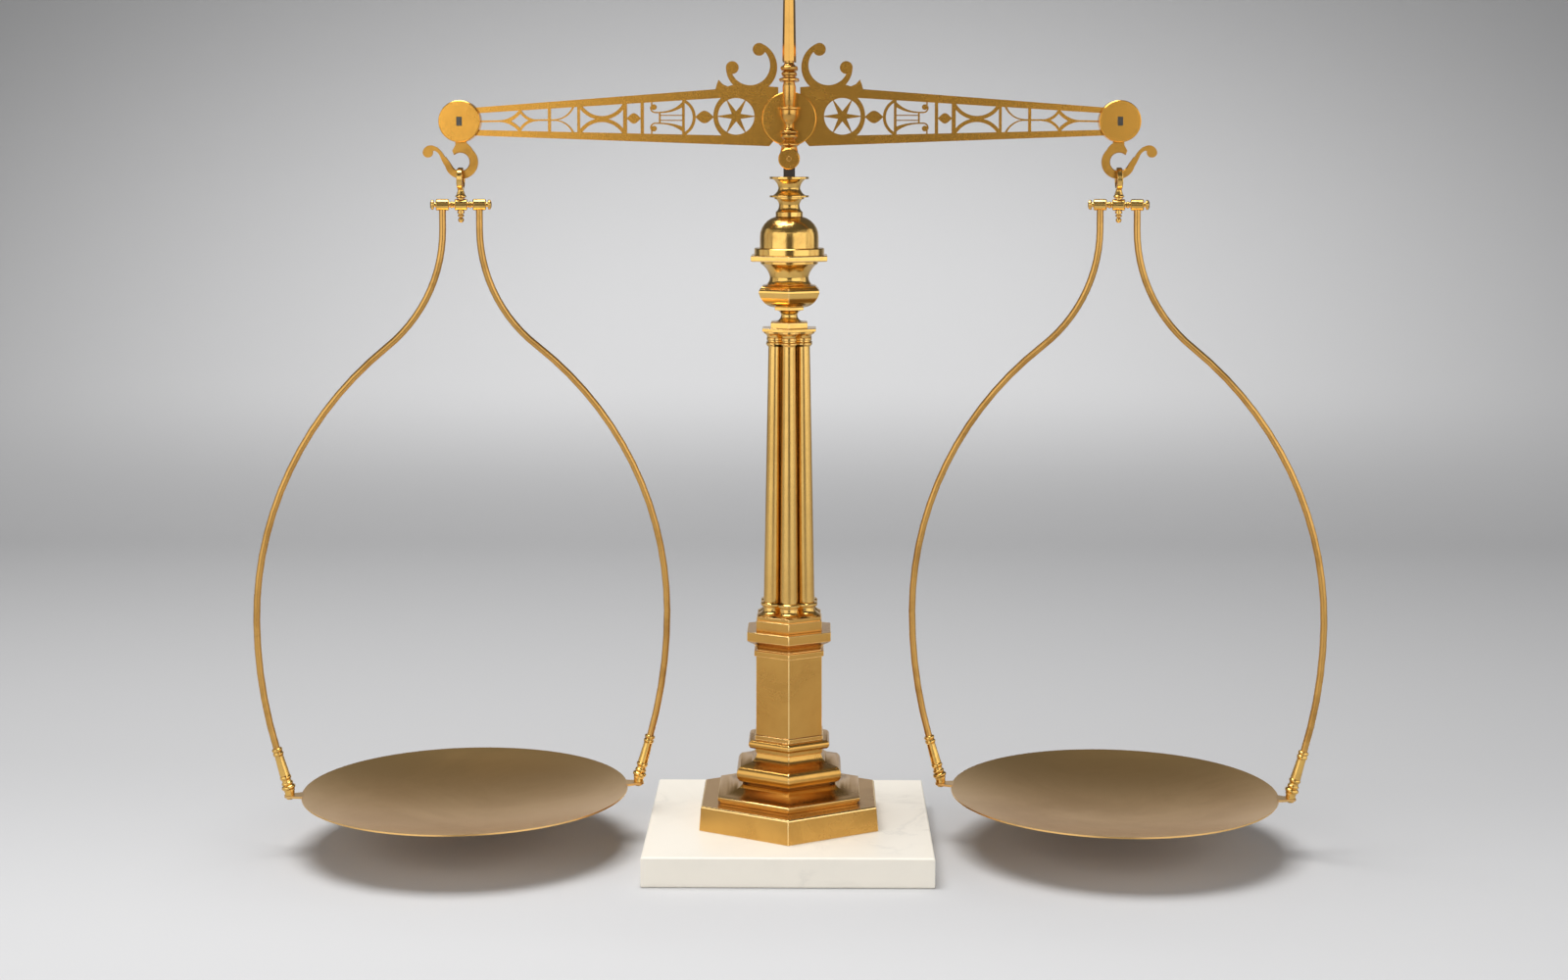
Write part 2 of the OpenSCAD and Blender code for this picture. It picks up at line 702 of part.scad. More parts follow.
// Small bar that ties the tips of the two spires
module top_bridge() {
    w = 6;
    color(brass) translate([0, 0, spire_top_z]) {
        difference() {
            linear_extrude(height = bridge_h) polygon(concat(
                arc([0, upright_y], w, 0, 180, 12), arc([0, -upright_y], w, 180, 360, 12)
            ));
            for (s = [-1, 1]) translate([0, s * upright_y, -1])
                cylinder(r = 2 + fit_gap, h = bridge_h + 2);
        }
        translate([0, 0, bridge_h]) turn(4.4, bridge_finial_turning);
    }
}

// Section of a knife: its edge is at the origin and points down
module knife_section(gap = 0) {
    w = knife_w / 2 + gap;
    flank_v = knife_h * 0.55;
    polygon([[0, -gap], [w, flank_v], [w, knife_h + gap], [-w, knife_h + gap], [-w, flank_v]]);
}

// The openings over and under a leaf of height h that reaches from u1 to u2; they run from
// the rails to its hollow sides, between the places from and to
module leaf_openings(u1, u2, h, p, from, to) {
    n = 12;
    tip_w = 0.9;
    v = mid_v((u1 + u2) / 2);
    for (s = [-1, 1]) polygon(concat(
        [[from, v + s * tip_w / 2], [from, rail(from, s)], [to, rail(to, s)], [to, v + s * tip_w / 2]],
        [for (i = [n:-1:0]) [mix(u1, u2, i / n), v + s * mix(tip_w, h, pow(sin(180 * i / n), p)) / 2]]
    ));
}

// A post across the opening at u
module post(u, w) {
    bite = 1;
    translate([u - w / 2, low_rail(u) - bite]) square([w, top_rail(u) - low_rail(u) + 2 * bite]);
}

// Two bent arms about u, back to back: r is the hollow of their outer sides, waist their
// least height together, w their width and eye the distance of the inner points from u
module bent_arms(u, r, waist, w, eye) {
    outer = r + w;
    difference() {
        for (s = [-1, 1]) translate([u, mid_v(u) + s * sqrt(outer * outer - eye * eye)])
            circle(outer);
        for (s = [-1, 1]) translate([u, mid_v(u) + s * (r + waist / 2)]) circle(r);
    }
}

// The upright strip from u1 to u2, between the rails
module strip(u1, u2) {
    bite = 1;
    polygon([
        [u1, low_rail(u1) - bite], [u2, low_rail(u2) - bite], [u2, top_rail(u2) + bite],
        [u1, top_rail(u1) + bite]
    ]);
}

module star() {
    n = 6;
    bite = 3;
    translate([star_u, mid_v(star_u)]) polygon([
        for (i = [0:2 * n - 1]) let (r = i % 2 == 0 ? star_r + bite : star_valley_r)
            r * [cos(180 * i / n), sin(180 * i / n)]
    ]);
}

// One horn of the lyre with its volute; s is 1 for the upper one and -1 for the lower
module lyre_horn(s, root) {
    n = 8;
    from = lyre_u;
    tip_v = 5.6;
    volute = [lyre_head_u + 4.2, 9.1];
    bend = 4.1;
    w = 1.3;
    function v(t, low, add) = low + add * pow(1 - t, 2.8);
    translate([0, mid_v(lyre_head_u)]) scale([1, s]) {
        polygon(concat(
            [for (i = [0:n]) [mix(from, volute[0], i / n), v(i / n, tip_v - w, root - 1.8)]],
            [for (i = [n:-1:0]) [mix(from, volute[0], i / n), v(i / n, tip_v, root + 2)]]
        ));
        polygon(concat(arc(volute, bend + w / 2, -90, 20, 8), arc(volute, bend - w / 2, 20, -90, 8)));
        translate([volute[0] + 1.2, volute[1] + 0.8]) circle(2.6);
        translate([volute[0] + 2.6, volute[1] + 1])
            square([w, top_rail(volute[0]) - mid_v(lyre_head_u) - volute[1]]);
    }
}

// The lyre's horns, strings and head bar
module lyre() {
    string_w = 1;
    post(lyre_u, lyre_bar_w);
    intersection() {
        union() {
            lyre_horn(1, 8);
            lyre_horn(-1, 6);
        }
        strip(lyre_u, lyre_head_u + 10);
    }
    translate([lyre_head_u - slender_w / 2, mid_v(lyre_head_u) - 5]) square([slender_w, 10]);
    for (s = [-1, 1]) translate([lyre_u, mid_v(lyre_head_u) + s * 2.3 - string_w / 2])
        square([lyre_w, string_w]);
}

// Ring of the star, almond and the lyre's bow
module almond_panel() {
    ring_shift = 3;
    bow_r = 18.4;
    bow_w = 2.75;
    bow_reach = 11.4;
    ring_u = star_u + star_r + star_ring_w;
    bow_u = lyre_u - bow_reach;
    difference() {
        strip(star_u, lyre_u);
        difference() {
            leaf_openings(ring_u, bow_u, almond_h, 1.05, star_u, lyre_u - lyre_bar_w / 2);
            translate([star_u - ring_shift, mid_v(star_u)])
                circle(star_r + star_ring_w + ring_shift);
            translate([bow_u + bow_r, mid_v(lyre_u)]) circle(bow_r);
        }
        intersection() {
            translate([bow_u + bow_r, mid_v(lyre_u)]) circle(bow_r - bow_w);
            polygon([
                [bow_u, low_rail(bow_u)], [lyre_u - lyre_bar_w / 2, low_rail(lyre_u)],
                [lyre_u - lyre_bar_w / 2, top_rail(lyre_u)], [bow_u, top_rail(bow_u)]
            ]);
        }
    }
}

module drop_panel() {
    from = drop_u + post_w / 2;
    to = saltire_u - saltire_post_w / 2;
    difference() {
        strip(drop_u - post_w / 2, saltire_u + saltire_post_w / 2);
        leaf_openings(from, to, drop_h, 1.2, from, to);
    }
}

// Two crossed bows between two posts
module saltire_panel() {
    intersection() {
        bent_arms((saltire_u + half_u) / 2, 22.3, 5.6, 2.9, 6.2);
        strip(saltire_u, half_u);
    }
    post(half_u, post_w - 0.5);
}

// Half a saltire, whose arms run into a bar
module half_panel() {
    join = lozenge_u - 4.4;
    bar_l = inner_join_u - join + 2;
    intersection() {
        bent_arms(join, 18.1, slender_w, 2.3, 3.4);
        strip(half_u, join);
    }
    post(lozenge_u, post_w - 0.3);
    translate([join - 1, mid_v(lozenge_u) - slender_w / 2]) square([bar_l, slender_w]);
}

// A lozenge of four bows on a bar
module lozenge_panel() {
    tip_u = mix(lozenge_u, end_u, 0.423);
    from = outer_join_u - 2;
    to = end_u + 2;
    w = slender_w / 2;
    intersection() {
        bent_arms(inner_join_u, 17.4, slender_w, 1.9, 8.2);
        strip(inner_join_u, tip_u);
    }
    intersection() {
        bent_arms(outer_join_u, 24, slender_w, 2, 11.4);
        strip(tip_u, outer_join_u);
    }
    polygon([
        [from, mid_v(outer_join_u) - w], [to, mid_v(end_u) - w],
        [to, mid_v(end_u) + w], [from, mid_v(outer_join_u) + w]
    ]);
}

// A scroll on the beam's shoulder: a ring that thins towards its mouth, with balls at its ends
module scroll() {
    hollow = [1.3, 1.8];
    mouth = 2 * scroll_r;
    large_end = 113;
    small_end = -1;
    ball_reach = scroll_r - scroll_ball_r;
    translate([scroll_u, scroll_v]) {
        difference() {
            circle(scroll_r);
            translate(hollow) circle(scroll_r - scroll_w);
            polygon([
                [0, 0], for (a = [small_end, mix(small_end, large_end, 0.5), large_end])
                    mouth * [cos(a), sin(a)]
            ]);
        }
        for (a = [small_end, large_end])
            translate(ball_reach * [cos(a), sin(a)]) circle(scroll_ball_r);
    }
}

// The spacer between the end plates: an arch round the hook's head, open below
module end_arch() {
    head_c = [0, -hook_head_drop];
    room = hook_head_r + 2;
    wall_u = 9.5;
    difference() {
        intersection() {
            circle(cheek_r);
            translate([-2 * cheek_r, -cheek_r]) square([2 * cheek_r, 2 * cheek_r]);
        }
        translate(head_c) circle(room);
        translate([-wall_u, -2 * cheek_r]) square([2 * cheek_r, 2 * cheek_r - hook_head_drop]);
    }
}

module half_beam() {
    root_end_u = arm_l - 12;
    panels_u = star_u + 8;
    difference() {
        union() {
            difference() {
                polygon([
                    [0, notch_v], [notch_u, notch_v], [notch_foot_u, low_edge(notch_foot_u)],
                    [root_end_u, low_edge(root_end_u)], [root_end_u, top_edge(root_end_u)],
                    [spur_u + 2.9, top_edge(spur_u + 2.9)], [spur_u + 1.6, spur_v - 4.2],
                    [spur_u, spur_v], [spur_u - 3.8, spur_v - 4.2], [spur_u - 8.4, spur_v - 6.2],
                    [spur_u - 12.4, spur_v - 5], [ear_end_u, ear_end_v], [ear_u, ear_top_v],
                    [ear_u, ear_low_v], [0, ear_low_v]
                ]);
                polygon([
                    [panels_u, low_rail(panels_u)], [arm_l, low_rail(arm_l)],
                    [arm_l, top_rail(arm_l)], [panels_u, top_rail(panels_u)]
                ]);
                translate([arm_l, -end_drop]) circle(cheek_r - 1);
            }
            almond_panel();
            lyre();
            drop_panel();
            saltire_panel();
            half_panel();
            lozenge_panel();
            translate([arm_l, -end_drop]) end_arch();
            scroll();
        }
        translate([star_u, mid_v(star_u)]) circle(star_r);
    }
    star();
}

module beam_plate() {
    color(brass) translate([0, 0, pivot_z]) plate(beam_t) difference() {
        both_sides() half_beam();
        knife_section(fit_gap);
    }
}

module centre_disc(s) {
    edge = 0.8;
    color(brass) translate([0, 0, pivot_z]) difference() {
        scale([1, s, 1]) translate([0, -beam_t / 2, 0]) rotate([90, 0, 0]) {
            cylinder(r = disc_r, h = disc_t - edge);
            translate([0, 0, disc_t - edge]) cylinder(r1 = disc_r, r2 = disc_r - edge, h = edge);
        }
        plate(4 * beam_t) knife_section(fit_gap);
    }
}

module front_centre_disc() {
    centre_disc(1);
}

module rear_centre_disc() {
    centre_disc(-1);
}

module centre_knife() {
    color(steel) translate([0, 0, pivot_z]) plate(2 * bearing_outer_y - 2) knife_section();
}

// Thin index that stands on the discs and rises between the spires
module pointer() {
    blade_t = 1.5;
    foot_w = 8;
    foot_top = disc_r + 5;
    foot_t = beam_t + 2 * disc_t;
    color(brass) translate([0, 0, pivot_z]) difference() {
        union() {
            plate(foot_t) translate([-foot_w / 2, disc_r - 2]) square([foot_w, 7]);
            plate(blade_t)
                polygon([[-2.5, foot_top - 1], [2.5, foot_top - 1], [0.6, pointer_h], [-0.6, pointer_h]]);
        }
        rotate([90, 0, 0]) cylinder(r = disc_r, h = 2 * foot_t, center = true);
    }
}

// Square end of an end knife, which is seen in the end plate
module shank_section(gap = 0) {
    square([knife_w + 2 * gap, knife_h + 2 * gap], center = true);
}

module left_side() {
    mirror([1, 0, 0]) children();
}

module cheeks() {
    edge = 0.8;
    color(brass) translate([arm_l, 0, knife_z]) difference() {
        for (s = [-1, 1]) scale([1, s, 1]) translate([0, -beam_t / 2, 0]) rotate([90, 0, 0]) {
            cylinder(r = cheek_r, h = cheek_t - edge);
            translate([0, 0, cheek_t - edge])
                cylinder(r1 = cheek_r, r2 = cheek_r - edge, h = edge);
        }
        plate(4 * beam_t + 4 * cheek_t) shank_section(fit_gap);
    }
}

// Between the plates the knife has an edge that points up, the pivot of the hook
module end_knife() {
    color(steel) translate([arm_l, 0, knife_z]) {
        plate(beam_t) mirror([0, 1]) knife_section();
        for (s = [-1, 1]) plate(cheek_t, s * (beam_t + cheek_t) / 2) shank_section();
    }
}

// The hook's head hangs on the end knife in a round hole
hook_hole_r = 5;
hook_head_r = 11;
hook_head_drop = hook_hole_r - run_gap;

// The right hook, about the centre of its throat; its tail leads outwards to a crook
module hook_outline() {
    neck_in = -6;
    neck_out = 4.5;
    bend_c = [-0.9, -0.3];
    beak = [6.1, 6.9];
    chin = [7.5, 10.3];
    crook = [27.4, 7.9];
    crook_r = 7.6;
    ball = [30.1, 8.7];
    difference() {
        union() {
            difference() {
                translate(bend_c) circle(bend_r);
                polygon([[0, 0], [5.3, -6.6], [20, 13.8], [20, 22], [-2, 22]]);
            }
            polygon(concat(
                [[0, 0], beak, chin, [neck_out + 0.1, 15.5], [neck_out, throat_c]],
                [[neck_in, throat_c]], swell([neck_in, 17.4], [-11.8, 10.7], 0.5)
            ));
            polygon(concat(
                arc(crook, crook_r, 0, 105, 8), swell([21.6, 13.6], [14, 3.9], 0.8),
                later(swell([14, 3.9], [5.3, -6.9], -1)), [[0, -12]],
                swell([6.7, -13.3], [18.6, 4.6], 1.2), later(swell([18.6, 4.6], [23.8, 10.3], -0.8))
            ));
            translate(ball) circle(tail_ball_r);
            translate([0, throat_c - hook_head_drop]) circle(hook_head_r);
        }
        circle(throat_r);
        translate([0, throat_c - hook_head_drop]) circle(hook_hole_r);
    }
}

module hook() {
    ridge = 0.8;
    ease = 0.8;
    flank = hook_t / 2 - ridge;
    color(brass) translate([arm_l, 0, throat_z + throat_r]) difference() {
        plate(hook_t) hook_outline();
        for (s = [-1, 1]) scale([1, s, 1]) translate([0, ridge, 0]) rotate([-90, 0, 0])
            cylinder(r1 = throat_r, r2 = throat_r + ease * 1.5, h = flank * 1.5);
    }
}

// Ring, collar and swivel stem in one piece
module eye() {
    outer = eye_r + eye_wall;
    ease = 0.9;
    stem_foot_z = nut_z - stem_grip;
    ring_foot_z = eye_z - outer;
    color(brass) translate([arm_l, 0, 0]) {
        translate([0, 0, eye_z]) rotate([0, 90, 0]) rotate_extrude() polygon([
            [eye_r, -eye_w / 2 + ease], [eye_r + ease, -eye_w / 2], [outer - ease, -eye_w / 2],
            [outer, -eye_w / 2 + ease], [outer, eye_w / 2 - ease], [outer - ease, eye_w / 2],
            [eye_r + ease, eye_w / 2], [eye_r, eye_w / 2 - ease]
        ]);
        rotate_extrude() polygon([
            [0, stem_foot_z], [stem_r, stem_foot_z], [stem_r, shoulder_z], [3.8, shoulder_z],
            [3.8, shoulder_z + 0.8], [5.1, shoulder_z + 1.6], [5.1, shoulder_z + 2.4],
            [4.2, shoulder_z + 3.2], [2.9, ring_foot_z - 0.4], [2.9, ring_foot_z + 1.4],
            [0, ring_foot_z + 1.4]
        ]);
    }
}

module finial_nut() {
    steps = [
        [4.6, 1.4, 1.7], [0.5, 1.4, 0], [0, 1.9, 0], [2.6, 1.9, 1.1], [0.8, 1.9, 0], [0, 3.3, 0],
        [2.4, 3.3, 0]
    ];
    color(brass) translate([arm_l, 0, 0]) difference() {
        translate([0, 0, nut_z - rise(steps)]) turn(0.8, steps);
        translate([0, 0, nut_z - stem_grip - fit_gap])
            cylinder(r = stem_r + fit_gap / 2, h = 2 * stem_grip);
    }
}

// The pan and its bow turn about the eye's stem
module turned_pan() {
    translate([arm_l, 0, 0]) rotate([0, 0, -pan_turn]) children();
}

module crossbar() {
    neck_r = 2.5;
    bead_r = 3.2;
    ease = 0.9;
    knob_l = 5.2;
    end_in = rod_top_x - end_drum_l / 2;
    end_out = rod_top_x + end_drum_l / 2;
    tip = end_out + knob_l;
    bead = (drum_l / 2 + end_in) / 2;
    line = concat(
        [[drum_r, 0], [drum_r, drum_l / 2 - ease], [drum_r - ease, drum_l / 2], [neck_r, drum_l / 2]],
        [[neck_r, bead - 1.4], [bead_r, bead - 0.7], [bead_r, bead + 0.7], [neck_r, bead + 1.4]],
        [[neck_r, end_in], [drum_r - ease, end_in], [drum_r, end_in + ease], [drum_r, end_out - ease]],
        [[drum_r - ease, end_out], [neck_r - 0.3, end_out], [neck_r - 0.3, end_out + 1.5]],
        [[4.4, end_out + 1.9], [4.7, end_out + 2.8], [4.4, end_out + 4.2], [2.4, tip]]
    );
    color(brass) turned_pan() difference() {
        translate([0, 0, crossbar_z]) rotate([0, 90, 0]) rotate_extrude() polygon(concat(
            line, [[0, tip], [0, -tip]], [for (i = [len(line) - 1:-1:1]) [line[i][0], -line[i][1]]]
        ));
        translate([0, 0, crossbar_z - 2 * drum_r])
            cylinder(r = stem_r + run_gap - fit_gap, h = 4 * drum_r);
        for (s = [-1, 1]) translate([s * rod_top_x, 0, crossbar_z - 2 * drum_r])
            cylinder(r = rod_r + fit_gap, h = 2 * drum_r + fit_gap);
    }
}

// Middle line of a rod in the bow's plane, from the drum down into the ferrule
rod_line = concat(
    [[rod_top_x, crossbar_z]],
    arc([rod_top_x + rod_bend_r, rod_bend_z], rod_bend_r, 180, 180 + rod_angle, 13),
    later(arc([belly_x - rod_back_r, belly_z], rod_back_r, rod_angle, 0, 14)),
    later(arc([belly_x - rod_low_r, belly_z], rod_low_r, 0, -ferrule_lean, 5)),
    [[ferrule_top_x, ferrule_top_z] - rod_socket_h * [sin(ferrule_lean), cos(ferrule_lean)]]
);

// A round rod of radius r along a line of points [x, z]
module swept_rod(line, r, sides = 12) {
    last = len(line) - 1;
    function side(i) = let (d = line[min(i + 1, last)] - line[max(i - 1, 0)])
        [d[1], -d[0]] / norm(d);
    points = [
        for (i = [0:last], k = [0:sides - 1]) let (
            a = 360 * k / sides,
            p = line[i] + r * cos(a) * side(i)
        ) [p[0], r * sin(a), p[1]]
    ];
    polyhedron(points, tube_faces(last, sides));
}

module bow_rod(s) {
    color(brass) turned_pan() scale([s, 1, 1]) swept_rod(rod_line, rod_r);
}

module ferrules() {
    color(brass) turned_pan() for (s = [-1, 1]) scale([s, 1, 1])
        translate([stud_x, 0, ferrule_foot_z]) rotate([0, ferrule_lean, 0]) difference() {
            turn(5, ferrule_turning);
            translate([0, 0, ferrule_l - rod_socket_h - fit_gap])
                cylinder(r = rod_r + fit_gap, h = rod_socket_h + 1);
        }
}

// Bevelled washer, stud through the ear and its head below
module pan_nuts() {
    washer_r = 4.5;
    head_r = 3.6;
    head_h = 1.8;
    head_z = rim_z - ear_t - head_h;
    color(steel) turned_pan() for (s = [-1, 1]) scale([s, 1, 1]) {
        difference() {
            translate([stud_x, 0, rim_z]) cylinder(r = washer_r, h = 2 * washer_h);
            translate([stud_x, 0, ferrule_foot_z]) rotate([0, ferrule_lean, 0])
                cylinder(r = 3 * washer_r, h = 2 * washer_h);
        }
        translate([stud_x, 0, head_z]) cylinder(r = stud_r, h = ear_t + head_h + 1);
        translate([stud_x, 0, head_z]) cylinder(r1 = head_r - 0.8, r2 = head_r, h = head_h);
    }
}

// A shallow dished sheet with two ears for the bow
module pan() {
    n = 14;
    dish_r = (pan_r * pan_r + pan_depth * pan_depth) / (2 * pan_depth);
    inner_z = rim_z - pan_depth;
    function dish(x) = inner_z + dish_r - sqrt(dish_r * dish_r - x * x);
    ear_x = pan_r - 2;
    ear_sweep = 75;
    color(bronze) turned_pan() {
        rotate_extrude($fn = 96) polygon(concat(
            [for (i = [0:n]) [pan_r * i / n, dish(pan_r * i / n) - pan_t]],
            [for (i = [n:-1:0]) [(pan_r - 0.2) * i / n, dish((pan_r - 0.2) * i / n)]]
        ));
        for (s = [-1, 1]) scale([s, 1, 1]) translate([0, 0, rim_z - ear_t]) difference() {
            linear_extrude(height = ear_t) polygon(concat(
                [[ear_x, -ear_w / 2]], arc([stud_x, 0], ear_tip_r, -ear_sweep, ear_sweep, 10),
                [[ear_x, ear_w / 2]]
            ));
            translate([stud_x, 0, -1]) cylinder(r = stud_r + fit_gap, h = ear_t + 2);
        }
    }
}

marble_slab();
plinth();
stepped_foot();
pedestal_base();
pedestal_die();
pedestal_cap();
column_seat();
cluster_base();
for (i = [1:6]) colonnette(i);
column_core();
cluster_capital();
abacus();
lower_neck();
bowl();
upper_neck();
cornice();
dome_plate();
dome();
spool();
tie_rod();
tie_nut();
yoke_barrel();
yoke_screws();
front_upright();
rear_upright();
knife_bearings();
top_bridge();
beam_plate();
front_centre_disc();
rear_centre_disc();
centre_knife();
pointer();
left_side() cheeks();  // left_cheeks
cheeks();  // right_cheeks
left_side() end_knife();  // left_knife
end_knife();  // right_knife
left_side() hook();  // left_hook
hook();  // right_hook
left_side() eye();  // left_eye
eye();  // right_eye
left_side() finial_nut();  // left_finial_nut
finial_nut();  // right_finial_nut
left_side() crossbar();  // left_crossbar
crossbar();  // right_crossbar
left_side() bow_rod(-1);  // left_inner_rod
left_side() bow_rod(1);  // left_outer_rod
bow_rod(-1);  // right_inner_rod
bow_rod(1);  // right_outer_rod
left_side() ferrules();  // left_ferrules
ferrules();  // right_ferrules
left_side() pan_nuts();  // left_pan_nuts
pan_nuts();  // right_pan_nuts
left_side() pan();  // left_pan
pan();  // right_pan
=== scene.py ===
# %% [markdown]
# # A brass counter balance on a marble slab
# The real scale is cast, turned and sawn brass: a hexagonal pedestal, six shafts, a yoke and
# a pierced beam that rocks on steel knives and carries two pans.
# Its shapes come ready made as a fixed frame of named nodes, in metres, so this lesson is
# about dressing them: a camera, a studio, finishes, and smooth copies with eased edges.

import json
import math

import bmesh
import bpy
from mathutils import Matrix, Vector


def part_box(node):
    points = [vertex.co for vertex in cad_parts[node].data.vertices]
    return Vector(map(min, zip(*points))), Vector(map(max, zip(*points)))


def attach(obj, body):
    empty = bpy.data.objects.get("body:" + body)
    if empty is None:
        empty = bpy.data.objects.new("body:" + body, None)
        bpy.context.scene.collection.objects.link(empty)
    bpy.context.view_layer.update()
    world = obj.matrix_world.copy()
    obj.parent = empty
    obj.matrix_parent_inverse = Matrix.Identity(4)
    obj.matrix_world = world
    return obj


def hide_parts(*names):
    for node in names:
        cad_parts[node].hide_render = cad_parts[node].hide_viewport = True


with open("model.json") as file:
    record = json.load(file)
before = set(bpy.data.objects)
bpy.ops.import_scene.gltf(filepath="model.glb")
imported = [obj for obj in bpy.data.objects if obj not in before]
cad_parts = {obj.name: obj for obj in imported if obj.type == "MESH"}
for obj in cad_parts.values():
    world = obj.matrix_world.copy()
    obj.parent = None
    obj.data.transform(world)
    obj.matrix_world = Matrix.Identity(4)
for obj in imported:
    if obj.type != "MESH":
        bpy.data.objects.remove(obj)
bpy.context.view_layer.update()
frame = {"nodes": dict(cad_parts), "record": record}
MM = 0.001
SIDES = ("left", "right")

# %% [markdown]
# ## Camera
# The scale is seen from the front, a little below its beam, with a fairly long lens. The
# horizon is in the upper third of the picture. A level camera would need a large shift for
# that, so part of it is made by a shift and the rest by looking down a little.

# %% Camera
camera_place = (0.0218, -2.182, 0.654)
look_down = 3.68
turn_left = 0.70

camera_data = bpy.data.cameras.new("camera")
camera_data.sensor_width = 36
camera_data.lens = 54
camera_data.shift_y = -0.12
camera_data.clip_end = 40
camera = bpy.data.objects.new("camera", camera_data)
camera.location = camera_place
camera.rotation_euler = (math.radians(90 - look_down), 0, math.radians(turn_left))
bpy.context.collection.objects.link(camera)
bpy.context.scene.camera = camera
bpy.context.scene.view_settings.view_transform = "Standard"
print("camera:", [round(v, 3) for v in camera.location], "lens", camera_data.lens)

# %% [markdown]
# ## Small helpers for shader trees
# Every finish below is a tree of nodes. An input of a node takes either a link from another
# node or a plain value. These helpers put either one in by the input's name, so that each
# finish reads as a short list of steps.

# %% Helpers: inputs and nodes
def put(tree, value, socket):
    if isinstance(value, bpy.types.NodeSocket):
        tree.links.new(value, socket)
    else:
        socket.default_value = value


def set_inputs(tree, node, **inputs):
    for key, value in inputs.items():
        put(tree, value, node.inputs[key.replace("_", " ")])


def add(tree, kind, settings=None, **inputs):
    node = tree.nodes.new(kind)
    for key, value in (settings or {}).items():
        setattr(node, key, value)
    set_inputs(tree, node, **inputs)
    return node


# %% Helpers: sums, mixes, ramps and noise
def maths(tree, operation, a, b=0.0, clamp=False):
    node = add(tree, "ShaderNodeMath", {"operation": operation, "use_clamp": clamp})
    put(tree, a, node.inputs[0])
    put(tree, b, node.inputs[1])
    return node.outputs[0]


def mixed_colour(tree, factor, a, b):
    node = add(tree, "ShaderNodeMix", {"data_type": "RGBA"})
    for value, socket in ((factor, 0), (a, 6), (b, 7)):
        put(tree, value, node.inputs[socket])
    return node.outputs[2]


def ramp(tree, factor, low, high, out_low=0.0, out_high=1.0):
    node = add(tree, "ShaderNodeMapRange", {"interpolation_type": "SMOOTHSTEP"}, Value=factor,
               From_Min=low, From_Max=high, To_Min=out_low, To_Max=out_high)
    return node.outputs[0]


def noise(tree, vector, scale, detail=4.0, roughness=0.55, distortion=0.0):
    node = add(tree, "ShaderNodeTexNoise", Vector=vector, Scale=scale, Detail=detail,
               Roughness=roughness, Distortion=distortion)
    return node.outputs[0]


def object_coordinates(tree):
    return add(tree, "ShaderNodeTexCoord").outputs["Object"]


def new_material(name):
    material = bpy.data.materials.new(name)
    material.use_nodes = True
    print("finish:", name)
    return material, material.node_tree, material.node_tree.nodes["Principled BSDF"]


# %% [markdown]
# ## Studio
# The scale stands on a pale floor that runs up into a low grey wall without a corner. The
# sweep is one edge that is spun through a quarter turn, and then extruded forwards and
# upwards. Nothing stands above the wall, so whatever mirrors the ceiling turns dark.

# %% Floor and wall
def verts_of(geometry):
    return [part for part in geometry if isinstance(part, bmesh.types.BMVert)]


def edges_of(geometry):
    return [part for part in geometry if isinstance(part, bmesh.types.BMEdge)]


def make_sweep(half_width, front, back, cove, top, steps):
    bm = bmesh.new()
    ends = [bm.verts.new((x, back, 0)) for x in (-half_width, half_width)]
    start = bm.edges.new(ends)
    spun = bmesh.ops.spin(bm, geom=ends + [start], cent=(0, back, cove), axis=(1, 0, 0),
                          angle=math.radians(90), steps=steps)
    up = bmesh.ops.extrude_edge_only(bm, edges=edges_of(spun["geom_last"]))["geom"]
    bmesh.ops.translate(bm, vec=(0, 0, top), verts=verts_of(up))
    out = bmesh.ops.extrude_edge_only(bm, edges=[start])["geom"]
    bmesh.ops.translate(bm, vec=(0, -front, 0), verts=verts_of(out))
    bmesh.ops.recalc_face_normals(bm, faces=bm.faces)
    floor = max(bm.faces, key=lambda face: face.calc_area())
    if floor.normal.z < 0:
        bmesh.ops.reverse_faces(bm, faces=bm.faces)
    mesh = bpy.data.meshes.new("sweep")
    bm.to_mesh(mesh)
    bm.free()
    mesh.shade_smooth()
    sweep = bpy.data.objects.new("sweep", mesh)
    bpy.context.collection.objects.link(sweep)
    return sweep


sweep = make_sweep(half_width=5.0, front=7.0, back=1.7, cove=0.9, top=0.5, steps=24)
print("sweep faces:", len(sweep.data.polygons))

# %% [markdown]
# ## Studio paper
# The paper's colour carries painted light and shade. The wall is palest behind the column
# and darker towards the upper corners, by the distance from a point low on the wall, measured
# on an ellipse, and the floor is painted lighter near the front and darker further back. In
# front of the scale the paper ends, where the studio's dark floor begins. Its back is clear,
# so that the scale can be looked at from behind.

# %% Studio paper
# Painted light and shade: a lit near floor and a shaded far floor, a lit middle of the wall and
# shaded corners.
LIT_NEAR_FLOOR = (0.635, 0.635, 0.64, 1)
SHADED_FAR_FLOOR = (0.525, 0.525, 0.53, 1)
DARK_FLOOR = (0.10, 0.10, 0.10, 1)
LIT_WALL_MIDDLE = (0.82, 0.82, 0.825, 1)
SHADED_WALL_CORNERS = (0.285, 0.285, 0.287, 1)
palest_height = 0.15
share_across, share_up = 0.42, 0.91

paper, tree, shader = new_material("studio_paper")
place = add(tree, "ShaderNodeSeparateXYZ", Vector=object_coordinates(tree)).outputs
across = maths(tree, "MULTIPLY", place["X"], share_across)
up = maths(tree, "MULTIPLY", maths(tree, "SUBTRACT", place["Z"], palest_height), share_up)
squares = maths(tree, "ADD", maths(tree, "MULTIPLY", across, across), maths(tree, "MULTIPLY", up, up))
distance = maths(tree, "SQRT", squares)
